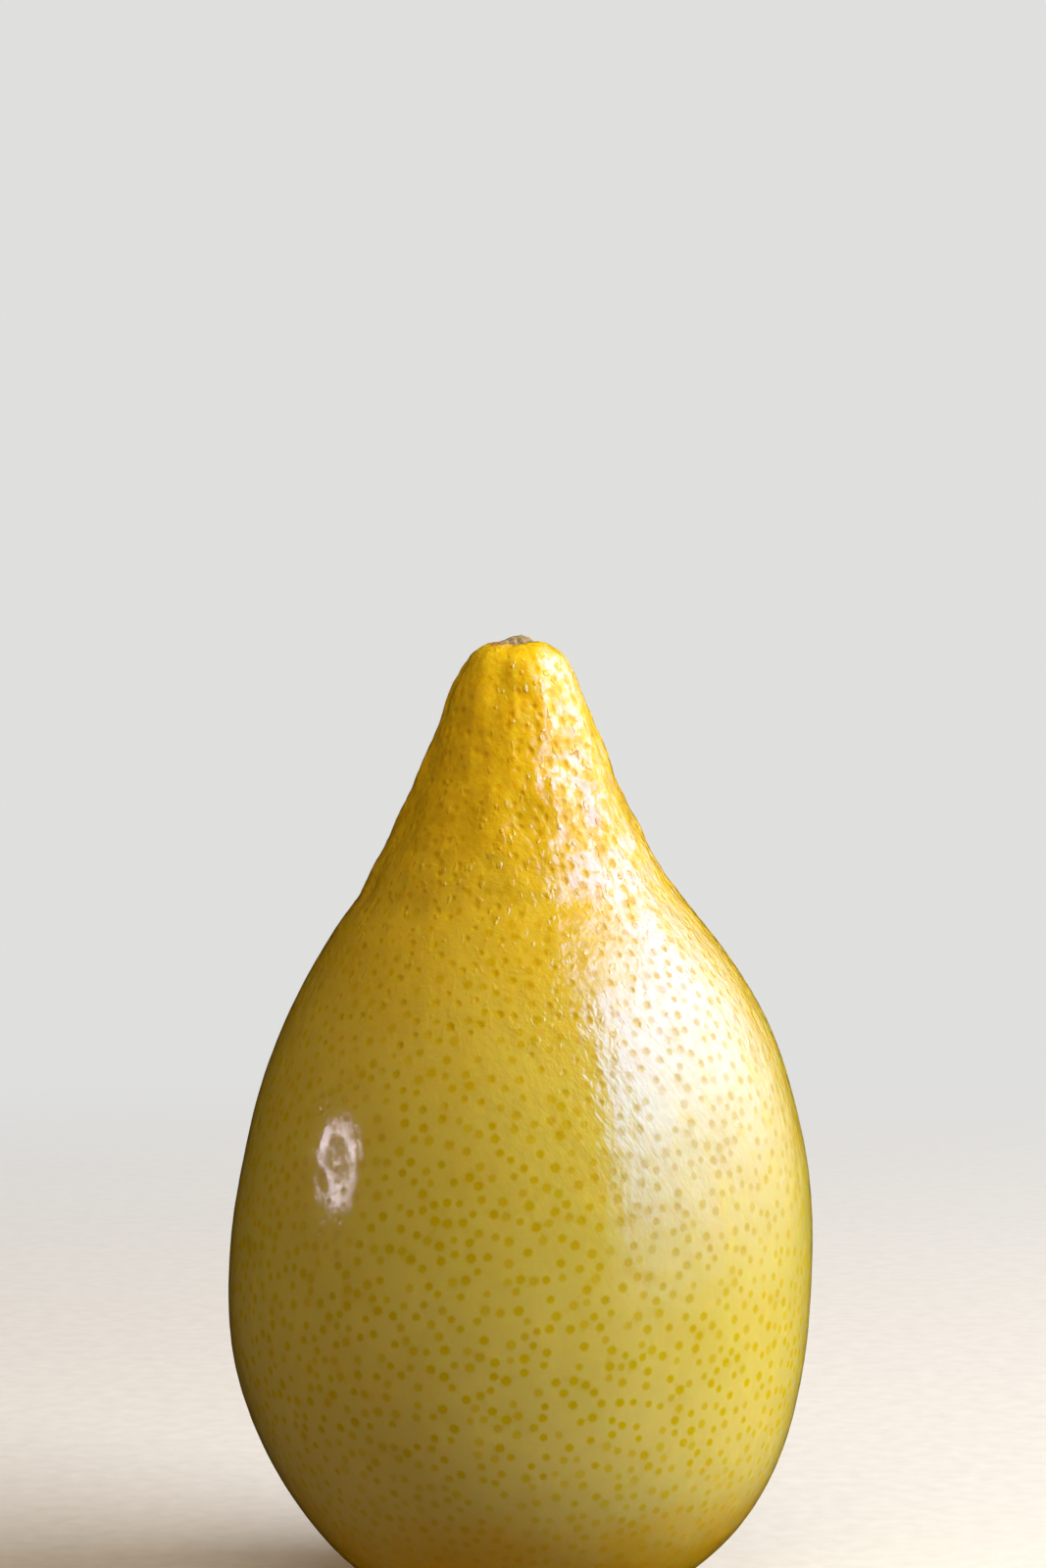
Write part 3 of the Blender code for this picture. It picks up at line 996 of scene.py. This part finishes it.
class LemonPeelSettings(bpy.types.PropertyGroup):
    """Sizes and colours of the peel."""

    glands_body: number_property(
        "Glands on the body", "Oil glands to a square centimetre there",
        GLANDS_BODY * MM2_TO_CM2, most=40.0, least=1.0)
    glands_neck: number_property(
        "Glands on the neck", "Oil glands to a square centimetre there",
        GLANDS_NECK * MM2_TO_CM2, most=40.0, least=1.0)
    pit_body: number_property(
        "Pits on the body", "Depth at a gland of the body",
        0.014 * MM, most=0.3 * MM, unit="LENGTH", precision=6)
    pit_neck: number_property(
        "Pits on the neck", "Depth at a gland of the neck",
        0.045 * MM, most=0.4 * MM, unit="LENGTH", precision=6)
    roughness: share_property("Roughness", "Roughness of the wax", 0.09)
    gloss: share_property("Gloss", "Strength of the wax's reflection", 0.85)
    bare_gloss: share_property("Bare gloss", "Strength of the reflection without wax", 0.1)
    wax: share_property("Wax", "Share that the clear wax covers", 0.35)
    wax_roughness: share_property("Wax roughness", "Roughness of the clear wax", 0.05)
    depth_share: share_property("Light in the rind", "Share of the light that scatters in the rind", 0.85)
    depth: number_property(
        "Depth of the light", "How far the light goes in the rind",
        1.2 * MM, most=20.0 * MM, unit="LENGTH", precision=5)
    # Base and low body: the peel's own tone, lightened with painted bounce light from below
    base_color: color_property("Base", "next to the flat spot", (0.95, 0.64, 0.04))
    low_color: color_property("Low body", "low on the body", (0.87, 0.76, 0.22))
    belly_color: color_property("Belly", "of the belly", (0.745, 0.64, 0.12))
    waist_color: color_property("Waist", "over the belly", (0.765, 0.62, 0.09))
    shoulder_color: color_property("Shoulder", "under the collar", (0.78, 0.565, 0.04))
    neck_color: color_property("Neck", "of the neck", (0.82, 0.55, 0.016))
    tip_color: color_property("Tip", "next to the tip", (0.95, 0.64, 0.018))
    gland_color: color_property("Glands", "of the oil glands", (0.85, 0.77, 0.0))
    gland_brown: color_property("Brown glands", "of the brownest glands", (0.80, 0.68, 0.02))
    scar_color: color_property("Scar", "of the dry scars", (0.50, 0.42, 0.24))
    scar_dark: color_property("Scar, dark", "of the cracks in the dry scars", (0.30, 0.22, 0.11))
    pink_color: color_property("Scar, pink", "of the scar's crumbly side", (0.45, 0.24, 0.16))


class LemonStageSettings(bpy.types.PropertyGroup):
    """Camera, lamps and floor of the studio."""

    distance: number_property(
        "Camera distance", "From the camera to the middle of the view",
        0.550, most=1.4, least=0.1, unit="LENGTH")
    pitch: number_property(
        "Camera pitch", "Angle that the camera looks down by",
        math.radians(4.5), most=math.radians(89.0), unit="ROTATION")
    lens: number_property("Lens", "Focal length in millimetres", 122.9, most=300.0, least=20.0)
    floor_color: color_property("Floor", "of the floor", (0.90, 0.91, 0.92))
    backdrop_color: color_property("Backdrop", "of the backdrop", (0.74, 0.74, 0.73))
    air_color: color_property("Air", "of the light from all round", (1.0, 0.70, 0.50))
    ring_color: color_property("Ring", "of the ring lamp", (0.96, 0.83, 1.0))
    window_color: color_property("Window", "of the window's daylight", (0.16, 0.41, 1.0))
    soft_power: number_property("Soft light", "Power of the right light", 11.8, most=200.0, unit="POWER")
    top_power: number_property("Top light", "Power of the light above", 2.6, most=200.0, unit="POWER")
    rim_power: number_property("Rim light", "Power of the warm light behind", 3.1, most=200.0, unit="POWER")
    window_glow: number_property("Window glow", "Brightness of the window", 10.4, most=100.0)
    ring_glow: number_property("Ring glow", "Brightness of the ring lamp", 21.0, most=200.0)
    ring_width: number_property("Ring width", "Outer width", 0.23, most=1.0, least=0.01, unit="LENGTH")
    ring_height: number_property("Ring height", "Outer height", 0.07, most=1.0, least=0.01, unit="LENGTH")
    ambient: number_property("Ambient", "Brightness of the light from all round", 0.20, most=5.0)


def towards(azimuth, elevation):
    """Unit vector from the object, 0 degrees being the camera's side and 90 the right."""
    a = math.radians(azimuth)
    e = math.radians(elevation)
    return Vector((math.sin(a) * math.cos(e), -math.cos(a) * math.cos(e), math.sin(e)))


def face_fruit(item, side, distance):
    """Puts a lamp on one side of the fruit, facing it, and hides it from the camera."""
    item.location = LIGHT_CENTRE + towards(*side) * distance
    item.rotation_mode = "QUATERNION"
    item.rotation_quaternion = towards(*side).to_track_quat("Z", "Y")
    item.visible_camera = False


def add_soft_light(name, side, distance, size, color, power):
    """An area light that the gloss doesn't reflect."""
    light = bpy.data.lights.new(name, "AREA")
    light.shape = "RECTANGLE"
    light.size = size[0]
    light.size_y = size[1]
    light.energy = power
    light.color = color
    panel = bpy.data.objects.new(name, light)
    face_fruit(panel, side, distance)
    panel.visible_glossy = False
    bpy.context.scene.collection.objects.link(panel)


def add_staged(name, mesh, material):
    """A staged object that gives the fruit no soft light."""
    item = bpy.data.objects.new(name, finished_mesh(name, mesh))
    item.data.materials.append(material)
    item.visible_diffuse = False
    bpy.context.scene.collection.objects.link(item)
    return item


def add_sheet(name, rings, material, closed=False, glossy=False):
    """A staged round sheet from rings of (radius, height), with or without a hole."""
    mesh = bmesh.new()
    turns = [math.tau * i / FLOOR_SIDES for i in range(FLOOR_SIDES)]
    loops = []
    for radius, height in rings:
        loops.append([mesh.verts.new((radius * math.cos(turn), radius * math.sin(turn), height))
                      for turn in turns])
    for inner, outer in zip(loops, loops[1:]):
        for i in range(FLOOR_SIDES):
            j = (i + 1) % FLOOR_SIDES
            mesh.faces.new((inner[i], outer[i], outer[j], inner[j]))
    if closed:
        mesh.faces.new(loops[0])
    sheet = add_staged(name, mesh, material)
    sheet.visible_glossy = glossy
    return sheet


def add_floor(settings):
    """Pale floor that sweeps up into a wall round the fruit."""
    paper = floor_finish(settings)
    wall = [(FLOOR_RADIUS, 0.0)]
    for step in range(FLOOR_STEPS + 1):
        angle = 0.5 * math.pi * step / FLOOR_STEPS
        wall.append((WALL_RADIUS + WALL_SWEEP * math.sin(angle), WALL_SWEEP * (1.0 - math.cos(angle))))
    add_sheet("studio_floor", [(FLOOR_CORE, 0.0), (FLOOR_RADIUS, 0.0)], paper, closed=True)
    add_sheet("studio_wall", wall, paper)


def add_window(settings):
    """A staged curved pane on the right that only the wax reflects."""
    pane = bmesh.new()
    turns = np.linspace(*WINDOW_TURN, WINDOW_COLUMNS)
    rises = np.linspace(*WINDOW_RISE, WINDOW_ROWS)
    rows = [[pane.verts.new(towards(turn, rise)) for turn in turns] for rise in rises]
    for low, high in zip(rows, rows[1:]):
        for i in range(len(turns) - 1):
            pane.faces.new((low[i], low[i + 1], high[i + 1], high[i]))
    window = add_staged("window", pane, window_finish(settings))
    window.location = LIGHT_CENTRE
    window.scale = [WINDOW_DISTANCE] * 3
    window.visible_camera = False
    window.visible_shadow = False


def add_ring(settings):
    """A staged ring-shaped lamp on the left that only the wax reflects."""
    ring = add_sheet("ring_lamp", [(LAMP_HOLE, 0.0), (1.0, 0.0)], lamp_finish(settings), glossy=True)
    ring.scale = (0.5 * settings.ring_width, 0.5 * settings.ring_height, 1.0)
    face_fruit(ring, LAMP_SIDE, LAMP_DISTANCE)


def add_air(scene, settings):
    """Soft light from all round that the gloss doesn't reflect."""
    world = bpy.data.worlds.new("studio_air")
    world.use_nodes = True
    background = world.node_tree.nodes["Background"]
    background.inputs["Color"].default_value = (*settings.air_color, 1.0)
    background.inputs["Strength"].default_value = settings.ambient
    world.cycles_visibility.glossy = False
    scene.world = world


def add_camera(scene, settings):
    """The camera in front of the fruit, a little over its middle."""
    camera = bpy.data.objects.new("camera", bpy.data.cameras.new("camera"))
    camera.data.lens = settings.lens
    camera.data.sensor_width = PHOTO_SENSOR
    focus = Vector((0.0, 0.0, FOCUS_HEIGHT))
    camera.location = focus + towards(0.0, math.degrees(settings.pitch)) * settings.distance
    camera.rotation_euler = (0.5 * math.pi - settings.pitch, 0.0, 0.0)
    scene.collection.objects.link(camera)
    scene.camera = camera


class LEMON_OT_peel(bpy.types.Operator):
    """Build the fine skin of the lemon in place of the plain solid"""

    bl_idname = "lemon.peel"
    bl_label = "Lemon peel"

    def execute(self, context):
        settings = context.scene.lemon_peel
        skin = bpy.data.objects.new("lemon_skin", skin_mesh("lemon_skin", settings))
        skin.data.materials.append(PeelFinish(settings).finished())
        context.scene.collection.objects.link(skin)
        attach(skin, "root")
        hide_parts(NODE)
        return {"FINISHED"}


class LEMON_OT_stage(bpy.types.Operator):
    """Set up the floor, the soft lights and the camera"""

    bl_idname = "lemon.stage"
    bl_label = "Studio"

    def execute(self, context):
        settings = context.scene.lemon_stage
        add_floor(settings)
        for name, side, distance, size, color in SOFT_LIGHTS:
            power = getattr(settings, name + "_power")
            add_soft_light(name + "_light", side, distance, size, color, power)
        add_window(settings)
        add_ring(settings)
        add_air(context.scene, settings)
        add_camera(context.scene, settings)
        context.scene.view_settings.view_transform = "Standard"
        return {"FINISHED"}


class LEMON_PT_panel(bpy.types.Panel):
    """The lemon's sizes, colours and steps"""

    bl_label = "Lemon"
    bl_idname = "LEMON_PT_panel"
    bl_space_type = "VIEW_3D"
    bl_region_type = "UI"
    bl_category = "Lemon"

    def draw(self, context):
        scene = context.scene
        for group, operator in ((scene.lemon_peel, "lemon.peel"), (scene.lemon_stage, "lemon.stage")):
            box = self.layout.box()
            for name in group.__annotations__:
                box.prop(group, name)
            box.operator(operator)


CLASSES = (LemonPeelSettings, LemonStageSettings, LEMON_OT_peel, LEMON_OT_stage, LEMON_PT_panel)


def register():
    for item in CLASSES:
        bpy.utils.register_class(item)
    bpy.types.Scene.lemon_peel = bpy.props.PointerProperty(type=LemonPeelSettings)
    bpy.types.Scene.lemon_stage = bpy.props.PointerProperty(type=LemonStageSettings)


def unregister():
    del bpy.types.Scene.lemon_stage
    del bpy.types.Scene.lemon_peel
    for item in reversed(CLASSES):
        bpy.utils.unregister_class(item)


def main():
    register()
    bpy.ops.lemon.peel()
    bpy.ops.lemon.stage()


if __name__ == "__main__":
    main()
